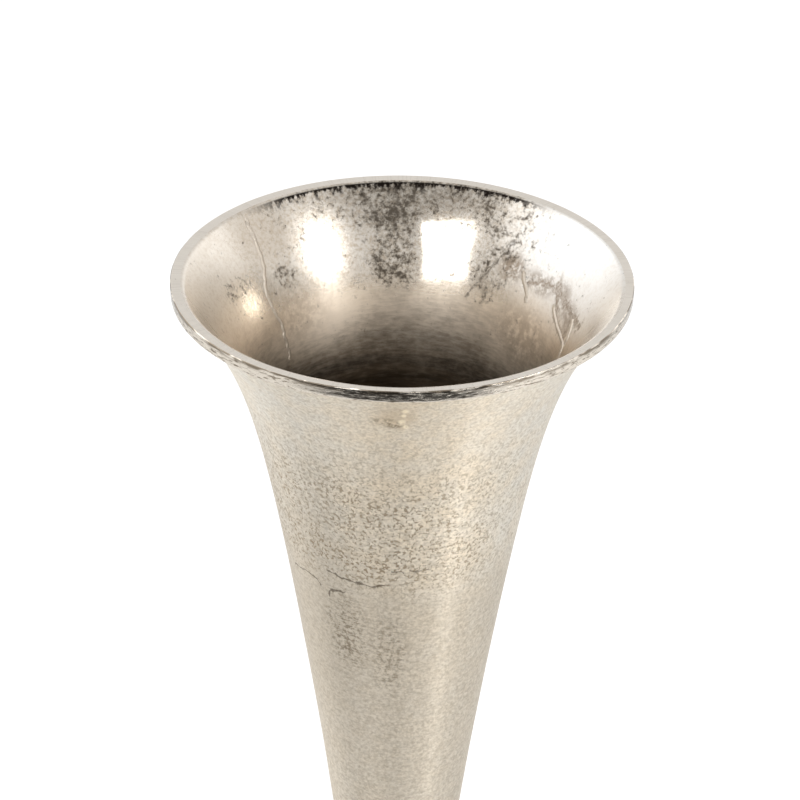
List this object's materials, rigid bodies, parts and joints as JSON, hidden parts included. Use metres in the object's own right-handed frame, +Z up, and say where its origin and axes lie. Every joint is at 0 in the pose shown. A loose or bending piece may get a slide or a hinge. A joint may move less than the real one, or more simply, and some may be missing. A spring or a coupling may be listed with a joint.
{
  "type": "trumpet vase",
  "caption": "Tall flared metal flower vase: a hollow cast trumpet with a flat lip, clamped through a bead ring to a flared round foot by a hidden stud and nut, on felt pads.",
  "frame": {"origin": "on the supporting surface, under the middle of the foot", "axes": "+Z up along the vase's turning axis; the vase is round, so X and Y are free"},
  "size_m": [0.24, 0.24, 0.5],
  "materials": {
    "cast_nickel": "sand-cast, raw nickel plated, satin outside and polished inside, with casting pits",
    "zinc_steel": "bright zinc plated",
    "grey_felt": "pressed wool felt"
  },
  "bodies": {
    "root": {"trumpet_body": "cast_nickel", "bead_ring": "cast_nickel", "foot": "cast_nickel", "clamp_stud": "zinc_steel", "plain_washer": "zinc_steel", "spring_washer": "zinc_steel", "hex_nut": "zinc_steel", "felt_pad_1": "grey_felt", "felt_pad_2": "grey_felt", "felt_pad_3": "grey_felt", "felt_pad_4": "grey_felt"}
  },
  "joints": []
}
